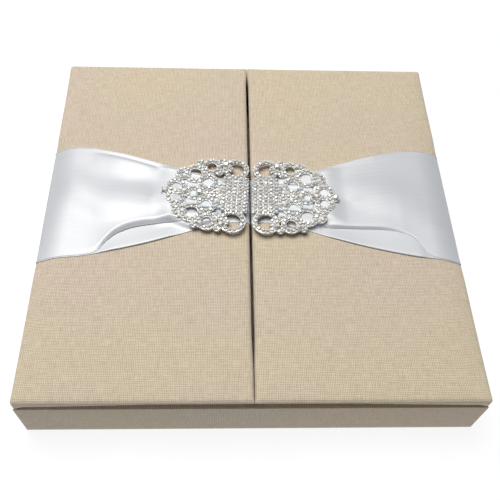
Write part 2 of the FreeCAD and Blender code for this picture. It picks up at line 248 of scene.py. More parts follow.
# Pitch and length of the satin's floats
FLOAT, FLOAT_RUN = 0.35, 24
CASTING_SPOT = 1.2


def linear(code):
    """Linear colour of an sRGB hex value."""
    parts = [int(code[n:n + 2], 16) / 255 for n in (1, 3, 5)]
    return [part / 12.92 if part <= 0.04045 else ((part + 0.055) / 1.055) ** 2.4 for part in parts] + [1]


def set_inputs(tree, node, inputs):
    """Set inputs of a node to values or to outputs of other nodes."""
    for key, value in inputs.items():
        if isinstance(value, bpy.types.NodeSocket):
            tree.links.new(value, node.inputs[key])
        else:
            node.inputs[key].default_value = value


def add(tree, kind, inputs=None, **settings):
    """Add a node with its settings and inputs to a tree."""
    made = tree.nodes.new(kind)
    for key, value in settings.items():
        setattr(made, key, value)
    set_inputs(tree, made, inputs or {})
    return made


def toned(tree, value, ramp):
    """The colour that a value picks from a ramp of (place, hex) pairs."""
    made = add(tree, "ShaderNodeValToRGB", {"Fac": value})
    stops = made.color_ramp.elements
    while len(stops) < len(ramp):
        stops.new(0.5)
    for stop, (place, code) in zip(stops, ramp):
        stop.position = place
        stop.color = linear(code)
    return made.outputs["Color"]


def relief(tree, height, strength, depth):
    """The normals of a surface under a height map, with its depth."""
    bump = add(tree, "ShaderNodeBump", {"Height": height, "Strength": strength, "Distance": depth * MM})
    return bump.outputs["Normal"]


def new_material(name):
    """An empty material, its node tree and its main shader."""
    material = bpy.data.materials.new(name)
    material.use_nodes = True
    tree = material.node_tree
    return material, tree, tree.nodes["Principled BSDF"]


def weave(tree, thread, run, even):
    """Threads both ways over the cloth map: a pitch and a length, and how even they are.

    It gives a value round 0.5, and the cloth map.
    """
    cloth = add(tree, "ShaderNodeUVMap", uv_map="cloth")
    ways = []
    for way, across, along in (("X", thread, run), ("Y", run, thread)):
        laid = add(tree, "ShaderNodeMapping", {
            "Vector": cloth.outputs["UV"], "Scale": (1 / (across * MM), 1 / (along * MM), 1)})
        uneven = add(tree, "ShaderNodeTexNoise", {
            "Vector": laid.outputs["Vector"], "Scale": 1.0, "Detail": 2.0, "Roughness": 0.6},
            noise_dimensions="2D")
        rows = add(tree, "ShaderNodeTexWave", {
            "Vector": cloth.outputs["UV"], "Scale": BAND / (1.5 * thread * MM), "Distortion": 1.6,
            "Detail": 1.0, "Detail Scale": 0.4}, bands_direction=way)
        mixed = add(tree, "ShaderNodeMix", {0: even, 2: uneven.outputs["Fac"], 3: rows.outputs["Fac"]})
        ways.append(mixed.outputs[0])
    both = add(tree, "ShaderNodeMath", {0: ways[0], 1: ways[1]}, operation="ADD")
    return add(tree, "ShaderNodeMath", {0: both.outputs[0], 1: 0.5}, operation="MULTIPLY").outputs[0], cloth


def woven_linen(name, dark, mid, pale, warm, cool):
    """Plain-woven linen book cloth, unbleached: matt, with uneven threads both ways and a few long slubs.

    Its threads are drawn about twice as far apart as real ones, so that they show.
    """
    material, tree, shader = new_material(name)
    threads, cloth = weave(tree, THREAD, THREAD_RUN, EVEN)
    slubs, _ = weave(tree, SLUB, SLUB_RUN, 0.0)
    raised = add(tree, "ShaderNodeMath", {0: threads, 1: THREAD_SHARE}, operation="MULTIPLY")
    height = add(tree, "ShaderNodeMath", {0: slubs, 1: SLUB_SHARE, 2: raised.outputs[0]},
                 operation="MULTIPLY_ADD").outputs[0]
    tone = toned(tree, height, [(0.36, dark), (0.5, mid), (0.64, pale)])
    drift = add(tree, "ShaderNodeTexNoise", {
        "Vector": cloth.outputs["UV"], "Scale": 1 / (DRIFT * MM), "Detail": 0.5}, noise_dimensions="2D")
    tint = toned(tree, drift.outputs["Fac"], [(0.3, warm), (0.7, cool)])
    colour = add(tree, "ShaderNodeMix", {0: 0.8, 6: tone, 7: tint}, data_type="RGBA", blend_type="MULTIPLY")
    set_inputs(tree, shader, {
        "Base Color": colour.outputs[2], "Normal": relief(tree, height, 0.5, 0.25), "Roughness": 0.9,
        "Specular IOR Level": 0.2, "Sheen Weight": 0.15, "Sheen Roughness": 0.6})
    return material


def satin_ribbon():
    """Polyester satin ribbon, white: long floats give it a broad soft gloss and a faint lengthwise grain."""
    material, tree, shader = new_material("white_satin")
    cloth = add(tree, "ShaderNodeUVMap", uv_map="cloth")
    floats = add(tree, "ShaderNodeMapping", {
        "Vector": cloth.outputs["UV"], "Scale": (1 / (FLOAT_RUN * MM), 1 / (FLOAT * MM), 1)})
    grain = add(tree, "ShaderNodeTexNoise", {
        "Vector": floats.outputs["Vector"], "Scale": 1.0, "Detail": 2.0},
        noise_dimensions="2D").outputs["Fac"]
    set_inputs(tree, shader, {
        "Base Color": toned(tree, grain, [(0.25, "#BCBFC4"), (0.75, "#C4C7CB")]),
        "Normal": relief(tree, grain, 0.05, 0.1), "Roughness": 0.48, "Specular IOR Level": 1.0,
        "IOR": 1.78, "Anisotropic": 0.3})
    return material


def cut_crystal():
    """Foil-backed cut glass with painted reflections: each facet is painted a tone from grey to white, a few
    with a tint, standing in for the parts of the room it would mirror.
    """
    material, tree, shader = new_material("foil_backed_crystal")
    painted_reflection = add(tree, "ShaderNodeAttribute", attribute_name="painted_reflection")
    # Painted reflections: the ramp runs from grey to white, then to pink, blue and yellow tints
    tone = toned(tree, painted_reflection.outputs["Fac"], [
        (0.0, "#84837E"), (0.12, "#9D9C97"), (0.35, "#B5B4AF"), (0.6, "#D0CFCB"), (0.82, "#F4F3F1"),
        (0.9, "#E2D0C2"), (0.95, "#CEDCE2"), (1.0, "#DDD2B4")])
    set_inputs(tree, shader, {
        "Base Color": tone, "Metallic": 0.05, "Roughness": 0.2, "Coat Weight": 0.5, "Coat Roughness": 0.02})
    return material


def silver_plating():
    """Cast metal with bright silver plating: polished grey-white, cloudier where the casting was rough."""
    material, tree, shader = new_material("silver_plating")
    place = add(tree, "ShaderNodeTexCoord")
    cast = add(tree, "ShaderNodeTexNoise", {
        "Vector": place.outputs["Object"], "Scale": 1 / (CASTING_SPOT * MM), "Detail": 3.0}).outputs["Fac"]
    gloss = add(tree, "ShaderNodeMapRange", {"Value": cast, 3: 0.22, 4: 0.4})
    set_inputs(tree, shader, {
        "Base Color": toned(tree, cast, [(0.35, "#CACAC7"), (0.65, "#E2E2DF")]),
        "Roughness": gloss.outputs["Result"], "Normal": relief(tree, cast, 0.2, 0.1), "Metallic": 0.1})
    return material


def speckled(name, dark, pale, grit, roughness, metallic=0.0, glow=0.0):
    """A plain stock with specks of a size, such as pulp, felt or plating grain; a lit one glows."""
    material, tree, shader = new_material(name)
    place = add(tree, "ShaderNodeTexCoord")
    specks = add(tree, "ShaderNodeTexNoise", {
        "Vector": place.outputs["Object"], "Scale": 1 / (grit * MM), "Detail": 4.0,
        "Roughness": 0.7}).outputs["Fac"]
    set_inputs(tree, shader, {
        "Base Color": toned(tree, specks, [(0.35, dark), (0.65, pale)]),
        "Normal": relief(tree, specks, 0.3, 0.2), "Roughness": roughness, "Metallic": metallic,
        "Emission Color": linear("#FFFFFF"), "Emission Strength": glow})
    return material


LINEN = woven_linen("unbleached_linen", "#ABA190", "#C4BAA8", "#D8CEBE", "#FFF9EA", "#FDF5F2")
LINING = woven_linen("lining_cloth", "#C9BEAC", "#DAD0C0", "#E6DED0", "#FFFAEE", "#FDF5F1")
SATIN = satin_ribbon()
CRYSTAL = cut_crystal()
SILVER = silver_plating()
GREYBOARD = speckled("greyboard", "#7E7A72", "#A39E94", 0.8, 0.95)
FELT = speckled("white_felt", "#CBD3D8", "#E6EDF1", 0.5, 1.0)
MAGNET = speckled("nickel_plated_magnet", "#8C8C8E", "#B5B5B8", 0.7, 0.3, 1.0)
TABLE = speckled("lit_white_table", "#5C5E60", "#626467", 40, 0.8, glow=0.88)


# Cloth on the tray

# Gap left between one cloth and the next
CLEAR = 0.02
# Roundings of the cloth at its rim and its foot, and of the linings
RIM_ROUND, FOOT_ROUND, LINING_ROUND = 0.5, 0.4, 0.3
# Strip of wall cloth over the base board's edge: depth, height of its hem, roundings of hem and corners
STRIP, HEM, HEM_ROUND, STRIP_CORNER = 0.36, 0.15, 0.15, 0.3
# How far the strips end short of the spines' outer faces, and the spine cloth short of its node's ends
WRAP_SHORT, SPINE_SHORT = 0.03, 0.4


def fit_to_tray(piece, material, slot, node):
    """Finish a piece of cloth that stays with the tray."""
    smooth(piece)
    lay_cloth_map(piece)
    dress(piece, material, slot, node)
    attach(piece, "tray")


def wall_cover(name, node):
    """Cloth over a front or back wall, with a strip down over the base board's edge and round the corners."""
    low, high = span(node)
    wrap = span("right_spine_cloth")[1].x - high.x - WRAP_SHORT
    outside = low.y if low.y < 0 else high.y
    inward = 1 if low.y < 0 else -1

    def on_rim(edge):
        return level(high.z)(edge) and abs(edge.verts[0].co.y - edge.verts[1].co.y) < HAIR

    def on_strip(face):
        return abs(face.calc_center_median().y / MM - outside) < STRIP

    def at_corner(edge):
        on_face = abs(edge.verts[0].co.y / MM - outside) < NEAR
        return upright(edge) and on_face and edge.calc_face_angle(0) > SHARP

    piece = block(name, low + Vector((CLEAR, 0, 0)), high - Vector((CLEAR, 0, 0)))
    round_edges(piece, on_rim, RIM_ROUND)
    slice_up(piece, 1, [outside + STRIP * inward])
    extrude(piece, lambda face: face.normal.z < -0.9 and on_strip(face), (0, 0, (HEM - low.z) * MM))
    for end in (-1, 1):
        extrude(piece, lambda face: face.normal.x * end > 0.9 and on_strip(face), (end * wrap * MM, 0, 0))
    round_edges(piece, level(HEM), HEM_ROUND, 2)
    round_edges(piece, at_corner, STRIP_CORNER, 3)
    fit_to_tray(piece, LINEN, "linen", node)


def base_cover():
    """Cloth under the base board, between the strips of wall cloth."""
    low, high = span("base_cloth")
    inset = Vector((CLEAR, STRIP + CLEAR, 0))
    piece = block("base_cover", low + inset, high - inset - Vector((0, 0, CLEAR)))
    round_edges(piece, level(low.z), FOOT_ROUND)
    fit_to_tray(piece, LINEN, "linen", "base_cloth")


def spine_cover(side):
    """Cloth round a spine board, with soft corners."""
    node = side + "_spine_cloth"
    low, high = span(node)
    inset = Vector((0, SPINE_SHORT, 0))
    piece = block(side + "_spine_cover", low + inset, high - inset)
    round_edges(piece, upright, RIM_ROUND)
    round_edges(piece, level(high.z), RIM_ROUND)
    round_edges(piece, level(low.z), FOOT_ROUND)
    fit_to_tray(piece, LINEN, "linen", node)


def inner_lining(name, node):
    """Lining glued to a wall or the floor of the tray."""
    low, high = span(node)
    piece = block(name, low, high)
    round_edges(piece, level(high.z), LINING_ROUND)
    fit_to_tray(piece, LINING, "lining", node)


base_cover()
wall_cover("front_wall_cover", "front_wall_cloth")
wall_cover("back_wall_cover", "back_wall_cloth")
inner_lining("tray_floor_lining", "floor_lining")
for side in ("left", "right"):
    spine_cover(side)
    inner_lining(side + "_tray_lining", side + "_wall_lining")


# Doors

DOOR_LOW, DOOR_HIGH = span("right_door_cloth")
TAIL_LOW, TAIL_HIGH = span("right_ribbon_tail")
RIBBON_WIDTH = TAIL_HIGH.y - TAIL_LOW.y
RIBBON_MIDDLE = (TAIL_HIGH.y + TAIL_LOW.y) / 2
BOARD_TOP = span("right_door_board")[1].z
# Rounding of a door's padding, the height where its ends stand out most, and how far they draw in below it
PAD_ROUND = 1.7
ROUNDEST = DOOR_HIGH.z - PAD_ROUND
UNDERCUT = 2.0
# How far that height sinks to the outer corner, and how far from the seam it starts to
SINK, SINK_START = 2.6, 36
# Where a door's front and back ends start to wander and to draw in, from the box's middle
WANDER_START, UNDERCUT_START = 80, 84
# Half the length over which the ribbon holds the padding down
HOLD = 34
# Widths of the bands along the outer edge in which the padding draws in and falls away
DRAW_BAND, FALL_BAND = 6, 11
# Swelling of the meeting edge: how far, at the back (1) or the front (-1), where it starts and is full
SWELLS = [(0.56, 1, 78, 85.5), (0.42, -1, 62, 75), (0.12, -1, 82, 88)]
SWELL_BAND = 2.5
# How far the edges of the padding wander, and over what distance
SWAY, SWAY_RUN = 0.18, 45
# Roundings of a door's outer corners, of its corners at the seam and of its lower edge
OUTER_CORNER, SEAM_CORNER, LOW_ROUND = 1.0, 0.3, 0.3
# Pitch of the cuts that let a door be shaped, across it and up its ends
CUT_PITCH, RISE_PITCH = 2.4, 0.35
# Turned-in edges: thickness, width, margins to the door's outline and gap in the mitres
TURN_IN = 0.1
TURN_IN_WIDTH = 13.7
TURN_IN_MARGIN = Vector((1.2, 2.8, 0))
MITRE_GAP = 0.12
# How far the board's ends are cut back, what length of them moves, and the lining's extra thickness
BOARD_CUT, BOARD_END = 1.6, 0.2
LINING_EXTRA = 0.07


def ramp(value, low, high):
    """How far a value has come from a low to a high end, from 0 to 1."""
    return min(1, max(0, (value - low) / (high - low)))


def tuck_under(x, y, z):
    """How far the front and back edges of a door draw in below their roundest height.

    That height sinks to the outer corner.
    """
    roundest = ROUNDEST - SINK * ramp(abs(x), SINK_START, DOOR_HIGH.x)
    depth = UNDERCUT * (1 - (1 - ramp(roundest - z, 0, roundest - DOOR_LOW.z)) ** 2)
    fade = 1 - ramp(abs(x), DOOR_HIGH.x - 10, DOOR_HIGH.x - 1)
    return depth * fade * ramp(abs(y), UNDERCUT_START, DOOR_HIGH.y)


def held(y):
    """How firmly the ribbon holds a door's padding down at its outer edge, from 0 to 1."""
    return math.exp(-((y - RIBBON_MIDDLE) / HOLD) ** 8)


def draw_in(x, y, z):
    """How far the padding of a door draws in along its outer edge."""
    pull = 0.12 * (1 - min(1, abs(y) / DOOR_HIGH.y) ** 4) + 0.1 * held(y)
    return pull * ramp(z, BOARD_TOP, DOOR_HIGH.z) * ramp(abs(x), DOOR_HIGH.x - DRAW_BAND, DOOR_HIGH.x)


def swell(x, y):
    """How far the ends of a door's meeting edge swell towards the seam."""
    most = sum(far * ramp(way * y, start, full) for far, way, start, full in SWELLS)
    return most * ramp(-x, -DOOR_LOW.x - SWELL_BAND, -DOOR_LOW.x)


def pad_rise(x, y):
    """Height of a door's padding above its nominal top.

    It is fuller in the middle, a little uneven, and falls away softly to the outer edge and the ends.
    """
    u = (2 * abs(x) - DOOR_LOW.x - DOOR_HIGH.x) / (DOOR_HIGH.x - DOOR_LOW.x)
    v = y / DOOR_HIGH.y
    full = max(0, 1 - u ** 4) * max(0, 1 - v ** 4)
    fall = 1.3 * (1 - min(1, abs(v)) ** 6) + 1.5 * held(y)
    outer = fall * ramp(abs(x), DOOR_HIGH.x - FALL_BAND, DOOR_HIGH.x) ** 2
    ends = max(0, 1 - (DOOR_HIGH.y - abs(y)) / 7) ** 2 * (1 - min(1, abs(u)) ** 6)
    uneven = 0.14 * full * noise.noise(Vector((x / 32, y / 32, 0.3)))
    return -0.25 + 0.6 * full + uneven - outer - 0.25 * ends


def door_cover():
    """Linen stretched over the right door's foam and board."""
    piece = block("right_door_cover", DOOR_LOW + Vector((0, 0, TURN_IN)), DOOR_HIGH)
    round_edges(piece, level(DOOR_HIGH.z), PAD_ROUND, 7)
    middle = (DOOR_LOW.x + DOOR_HIGH.x) / 2 * MM

    def corner(edge):
        return edge.calc_face_angle() > SHARP and abs(edge.verts[0].co.z - edge.verts[1].co.z) > HAIR

    round_edges(piece, lambda edge: corner(edge) and edge.verts[0].co.x > middle, OUTER_CORNER, 4)
    round_edges(piece, lambda edge: corner(edge) and edge.verts[0].co.x < middle, SEAM_CORNER, 3)
    round_edges(piece, level(DOOR_LOW.z + TURN_IN), LOW_ROUND, 2)
    slice_up(piece, 2, steps(DOOR_LOW.z + 0.5, ROUNDEST - 0.05, RISE_PITCH))
    for axis in (0, 1):
        slice_up(piece, axis, steps(DOOR_LOW[axis] + 2, DOOR_HIGH[axis] - 2, CUT_PITCH))
    for vertex in piece.data.vertices:
        x, y, z = vertex.co / MM
        share = ramp(z, BOARD_TOP, DOOR_HIGH.z)
        vertex.co.z += share * pad_rise(x, y) * MM
        sway = SWAY * noise.noise(Vector((x / SWAY_RUN, y / SWAY_RUN, 4.1)))
        vertex.co.z += (1 - share) * sway * MM * 0.6
        vertex.co.x -= (draw_in(x, y, z) + swell(x, y)) * MM
        if abs(y) > WANDER_START:
            vertex.co.y += (sway - tuck_under(x, y, z)) * (MM if y > 0 else -MM)
    smooth(piece, 50)
    return piece


def turn_ins():
    """The door cloth's edges, turned in under the board and mitred at the corners."""
    clear_selection()
    middle = (DOOR_LOW + DOOR_HIGH) / 2 * MM
    extent = (DOOR_HIGH - DOOR_LOW - 2 * TURN_IN_MARGIN) * MM
    bpy.ops.mesh.primitive_plane_add(size=1, location=(middle.x, middle.y, (DOOR_LOW.z + TURN_IN) * MM))
    piece = named("right_door_turn_ins")
    piece.scale = (extent.x, extent.y, 1)
    bpy.ops.object.transform_apply()
    mode("EDIT")
    bpy.ops.mesh.select_all(action="SELECT")
    bpy.ops.mesh.inset(thickness=TURN_IN_WIDTH * MM)
    bpy.ops.mesh.delete(type="FACE")
    bpy.ops.mesh.select_mode(type="FACE")
    bpy.ops.mesh.select_all(action="SELECT")
    bpy.ops.mesh.inset(use_individual=True, thickness=MITRE_GAP * MM)
    bpy.ops.mesh.select_all(action="INVERT")
    bpy.ops.mesh.delete(type="FACE")
    bpy.ops.mesh.select_all(action="SELECT")
    bpy.ops.mesh.flip_normals()
    mode("OBJECT")
    sheet = piece.modifiers.new("thickness", "SOLIDIFY")
    sheet.thickness = TURN_IN * MM
    sheet.offset = 1
    edge = piece.modifiers.new("soft_edge", "BEVEL")
    edge.width = 0.08 * MM
    edge.segments = 2
    apply_modifiers(piece)
    smooth(piece, 50)
    return piece


def door_core():
    """The board in the door, its front and back ends cut back under the rounded cloth.

    What lies further in than BOARD_END stays, so a sliver of each round corner is left standing out.
    """
    piece = cad_copy("right_door_board", "right_door_core")
    low, high = span("right_door_board")
    for vertex in piece.data.vertices:
        if abs(vertex.co.y) / MM > high.y - BOARD_END:
            vertex.co.y -= math.copysign(BOARD_CUT, vertex.co.y) * MM

    def low_end(edge):
        places = [abs(vertex.co.y / MM) for vertex in edge.verts]
        return level(low.z)(edge) and all(abs(place - high.y + BOARD_CUT) < NEAR for place in places)

    round_edges(piece, low_end, 0.7, 1)
    smooth(piece, 30)
    return piece


def door_lining():
    """Lining sheet glued over the inside of the door."""
    low, high = span("right_door_lining")
    low = low - Vector((0, 0, LINING_EXTRA))
    piece = block("right_door_inside", low, high)
    round_edges(piece, upright, 0.8)
    round_edges(piece, level(low.z), 0.12, 2)
    smooth(piece, 50)
    return piece


for make, material, slot, nodes in (
        (door_cover, LINEN, "linen", ("door_cloth", "door_foam")),
        (turn_ins, LINEN, "linen", ()),
        (door_core, GREYBOARD, "greyboard", ("door_board",)),
        (door_lining, LINING, "lining", ("door_lining",))):
    right = make()
    pair = {"right": right, "left": mirrored(right, right.name.replace("right", "left"))}
    for side, piece in pair.items():
        lay_cloth_map(piece)
        dress(piece, material, slot, *(f"{side}_{node}" for node in nodes))
        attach(piece, side + "_door")


# Cloth hinges

# How far the hinge cloth reaches down the spine and up the door, and stops short of the door's ends
HINGE_DOWN, HINGE_UP, HINGE_SHORT = 7.4, 2.8, 2.6
# Rise of the cloth from its edges, how far these are pressed in, and depth and width of its crease
HINGE_LIFT, HINGE_EDGE = 0.09, 0.03
CREASE, CREASE_WIDTH = 0.05, 0.5


def cloth_hinge(side):
    """Linen that runs from a spine to its door over the joint, with a slight crease at the joint."""
    sign = 1 if side == "right" else -1
    spine_high = span("right_spine_cloth")[1]
    face = spine_high.x
    foot, head = spine_high.z - HINGE_DOWN, DOOR_LOW.z + HINGE_UP
    joint = (spine_high.z + DOOR_LOW.z) / 2
    clear_selection()
    bpy.ops.mesh.primitive_grid_add(x_subdivisions=60, y_subdivisions=28, size=1)
    piece = named(side + "_cloth_hinge")
    half = DOOR_HIGH.y - HINGE_SHORT
    for vertex in piece.data.vertices:
        along, across = vertex.co.x, vertex.co.y + 0.5
        z = foot + (head - foot) * across
        lift = HINGE_LIFT * min(1, across * 8, (1 - across) * 8) - HINGE_EDGE
        crease = CREASE * math.exp(-((z - joint) / CREASE_WIDTH) ** 2)
        vertex.co = Vector((sign * (face + lift - crease), -sign * 2 * half * along, z)) * MM
    if piece.data.polygons[0].normal.x * sign < 0:
        piece.data.flip_normals()
    smooth(piece, 60)
    lay_cloth_map(piece)
    dress(piece, LINEN, "linen", side + "_hinge_cloth")
    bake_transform(piece)


for side in ("left", "right"):
    cloth_hinge(side)


# Satin ribbons

PAD_LOW, PAD_HIGH = span("right_clasp_pad")
PAD_HALF = (PAD_HIGH.y - PAD_LOW.y) / 2
# Lines across the door are (distance from the seam, distance behind the ribbon's middle).
RIBBON_TOP_EDGE = [
    (0, 12), (10, 12.1), (33, 18.1), (45.5, 22.2), (58, 26.2), (70.5, 29.1), (79, 29.6), (86, 29), (90, 28.6)]
RIBBON_LOW_EDGE = [
    (0, -12), (10, -12.3), (24.3, -16.4), (33, -19.4), (45.5, -23.5), (58, -26.8), (70.5, -29.5), (79, -30.3),
    (86, -31.2), (90, -31.4)]
TUCK = {
    "left": [
        (0, -5.8), (15, -10.2), (27, -12.5), (37, -13.1), (49.5, -15.2), (57, -18.7), (61, -22.9), (64, -27),
        (68, -28.8), (79, -29.8), (90, -31)],
    "right": [
        (0, -5.8), (18, -11.9), (31.8, -14.8), (45.5, -15.4), (58, -15.8), (65.5, -17.3), (70, -19.8),
        (72.5, -23.4), (74.5, -27.6), (79, -29.7), (90, -31)],
}
# Height of the lip that rolls over each tuck, and how wide it rolls
LIP = {
    "left": [
        (20, 0.8), (30, 1.3), (38, 1.6), (46, 1.9), (54, 1.9), (58, 1.6), (62, 1.1), (66, 0.5), (72, 0.2),
        (80, 0)],
    "right": [
        (20, 0.8), (30, 1.1), (38, 1.15), (50, 1.05), (58, 0.9), (64, 0.6), (70, 0.4), (76, 0.2), (80, 0)],
}
LIP_REACH = {"left": 1.0, "right": 0.5}
# How high the back edge rolls over its tuck
BACK_ROLL = {"left": 1.0, "right": 1.3}
# Folds of the panel between the tucks: along each crest, the distance from the seam, the crest's place behind
# the ribbon's middle, its height, and how far the fold reaches to the front and to the back
FOLDS = {
    "left": [
        [(30, -2, 0.1, 6, 10), (38, -2, 0.6, 7, 11), (46, -2.5, 1.1, 9, 13), (56, -3, 1.5, 11, 15),
         (64, -2, 1.6, 12, 15), (70, 1, 1.5, 12, 15), (76, 5, 1.3, 13, 15), (82, 8, 0.6, 13, 14),
         (87, 10, 0, 16, 14)],
        [(40, 17.5, 0, 8, 3), (46, 19.6, 1.1, 10, 3), (54, 22.3, 1.5, 14, 3), (60, 24.2, 1.3, 14, 3),
         (66, 26, 0.6, 12, 3), (71, 27, 0, 12, 3)]],
    "right": [
        [(30, 8, 0.1, 10, 8), (38, 8, 0.4, 12, 9), (50, 6.5, 0.7, 14, 12), (62, 3, 0.9, 16, 15),
         (72, -1, 0.8, 16, 16), (80, -2, 0.3, 16, 16), (87, -2, 0, 16, 16)],
        [(28, 13.5, 0.2, 6, 3), (38, 17.5, 0.5, 7, 3), (46, 20, 0.4, 8, 3), (56, 23.5, 0, 9, 3)]],
}
# Height of the ribbon over the cloth, and shares of its spare width in the front and the back tuck
SATIN_LIFT = 0.24
DEEP_SHARE, SHALLOW_SHARE = 0.76, 0.24
PANEL_POINTS = 16
# The back edge's roll, from its crest: distance in front of its fold and share of its height
BACK_SECTION = [(0.2, 0.95), (1.0, 0.82), (1.8, 0.67), (2.5, 0.53)]
# The lip, from its crest to its foot: distance behind the tuck and share of its height
LIP_SECTION = [(3.2, 1), (2.5, 0.95), (1.8, 0.8), (1.2, 0.58), (0.6, 0.34), (0.1, 0.2), (0.1, 0.12)]
# The flap in front of the tuck: its height, then shares of its width and of its height
FLAP_HEIGHT = 0.75
FLAP_SECTION = [
    (0.15, 0.1), (0.35, 0.25), (0.55, 0.45), (0.75, 0.65), (0.9, 0.8), (0.98, 0.8), (1.0, 0.45), (1.0, 0.05)]
# Bunching under the clasp: height, part of the flap left flat, and where it starts and is full
BUNCH = 1.5
BUNCH_FLAP = 5
BUNCH_START, BUNCH_FULL = 0.3, 2.8
# Thickness of the ribbon, and share of its relief pressed flat on the door's sides
SATIN_THICKNESS = 0.16
PRESSED = 0.25


def follow(line, x):
    """Height at x of a smooth line through given points."""
    n = max(i for i in range(len(line) - 1) if line[i][0] <= x or i == 0)
    (x0, y0), (x1, y1) = line[n], line[n + 1]

    def slope(i):
        before, after = line[max(i - 1, 0)], line[min(i + 1, len(line) - 1)]
        return (after[1] - before[1]) / (after[0] - before[0])

    t = min(1, max(0, (x - x0) / (x1 - x0)))
    run = x1 - x0
    return ((2 * t ** 3 - 3 * t ** 2 + 1) * y0 + (t ** 3 - 2 * t ** 2 + t) * run * slope(n)
            + (3 * t ** 2 - 2 * t ** 3) * y1 + (t ** 3 - t ** 2) * run * slope(n + 1))


def panel_height(side, x, y):
    """Height of the folds in a ribbon's loose panel."""
    height = 0
    for fold in FOLDS[side]:
        crest, top, front, back = (follow([(stop[0], stop[n]) for stop in fold], x) for n in (1, 2, 3, 4))
        reach = back if y > crest else front
        height += max(0, top) * (0.5 + 0.5 * math.cos(math.pi * min(1, abs(y - crest) / reach)))
    return height


def ribbon_section(side, x):
    """Control points (y, height) across the ribbon at a distance x from the seam.

    It lies in two tucks with a loose panel between them.
    """
    top, low = follow(RIBBON_TOP_EDGE, x), follow(RIBBON_LOW_EDGE, x)
    tuck = max(follow(TUCK[side], x), low + 0.3)
    spare = max(0, RIBBON_WIDTH - (top - low)) / 2
    deep, shallow = DEEP_SHARE * spare, SHALLOW_SHARE * spare
    free = min(1, max(0.25, (x - 29) / 6))
    roll = follow(LIP[side], x) * min(1, deep / 1.2) * free
    turn = min(1, shallow / 0.9) * free
    back = BACK_ROLL[side] * turn
    fold = top - 0.1 - 0.3 * turn
    ground = SATIN_LIFT
    points = [(top, ground), (top - 0.3, ground + 0.05), (fold - 0.4 * shallow, ground + 0.02),
              (fold - shallow, ground + 0.06 * turn), (fold - shallow, ground + 0.26 * turn),
              (fold - 0.4 * shallow, ground + 0.3 * turn), (fold, ground + 0.35 * turn),
              (fold + 0.15 * turn, ground + 0.65 * back)]
    points += [(fold - ahead, ground + height * back) for ahead, height in BACK_SECTION]
    first, last = fold - 3.3, tuck + 4
    for n in range(PANEL_POINTS):
        share = n / (PANEL_POINTS - 1)
        y = first + (last - first) * share
        rest = 0.42 * turn * (1 - share) ** 2 + 0.95 * roll * share ** 1.2
        points.append((y, ground + rest + panel_height(side, x, y)))
    wide = LIP_REACH[side]
    points += [(tuck + behind * wide, ground + height * roll) for behind, height in LIP_SECTION]
    points += [(tuck + 0.5 * deep, ground + 0.14 * roll), (tuck + deep, ground + 0.12 * roll),
               (tuck + deep, ground + 0.04 * roll), (tuck + 0.5 * deep, ground), (tuck + 0.2, ground)]
    flap = FLAP_HEIGHT * min(1, (tuck - low) / 7) * free
    points += [(tuck + (low - tuck) * share, ground + flap * height) for share, height in FLAP_SECTION]
    return points


def bunched(x, y):
    """How far the ribbon is bunched up round the pad and under the openwork of the clasp."""
    top, low = follow(RIBBON_TOP_EDGE, x), follow(RIBBON_LOW_EDGE, x)
    flap = BUNCH_FLAP * ramp(x, 26, 34)
    inside = ramp(top - y, BUNCH_START, BUNCH_FULL)
    inside *= ramp(y - low, BUNCH_START + flap, BUNCH_FULL + 1.5 * flap)
    inside *= ramp(x, 9, 13) * (1 - ramp(x, 33, 43))
    beside = max(ramp(abs(y), PAD_HALF, PAD_HALF + 1), ramp(x, PAD_HIGH.x, PAD_HIGH.x + 1))
    return BUNCH * inside ** 2 * (3 - 2 * inside) * beside


def spline(points, count):
    """Places evenly spread over a smooth line guided by control points."""
    guide = [points[0]] * 2 + points + [points[-1]] * 2
    spans = len(guide) - 3
    for n in range(count):
        place = min(spans - 1e-6, spans * n / (count - 1))
        i = int(place)
        t = place - i
        shares = ((1 - t) ** 3 / 6, (3 * t ** 3 - 6 * t ** 2 + 4) / 6,
                  (-3 * t ** 3 + 3 * t ** 2 + 3 * t + 1) / 6, t ** 3 / 6)
        yield tuple(sum(share * guide[i + j][axis] for j, share in enumerate(shares)) for axis in (0, 1))


def ribbon_path():
    """Stations of the right ribbon from the seam to the foot of its tail: x, z and outward side."""
    left, right, top = DOOR_LOW.x, DOOR_HIGH.x, DOOR_HIGH.z
    foot = span("right_ribbon_tail")[0].z
    centre = top - PAD_ROUND

    def bend(edge, way, first):
        turns = [math.radians(first - 15 * n) for n in range(7)]
        return [(edge + PAD_ROUND * (way + math.cos(turn)), centre + PAD_ROUND * math.sin(turn),
                 math.cos(turn), math.sin(turn)) for turn in turns]

    route = [(left, z, -1, 0) for z in (DOOR_LOW.z + 0.6, DOOR_LOW.z + 1.8)]
    route += bend(left, 1, 180)
    route += [(x, top, 0, 1) for x in steps(left + PAD_ROUND, right - PAD_ROUND, 1.1)]
    route += bend(right, -1, 90)
    route += [(right, z, 1, 0) for z in steps(centre, DOOR_LOW.z + 0.8, 0.9)]
    route += [(right, z, 1, 0) for z in steps(DOOR_LOW.z + 0.8, DOOR_LOW.z - 1.2, 0.2)]
    route += [(right, z, 1, 0) for z in steps(DOOR_LOW.z - 1.2, foot, 1.5)] + [(right, foot, 1, 0)]
    return route


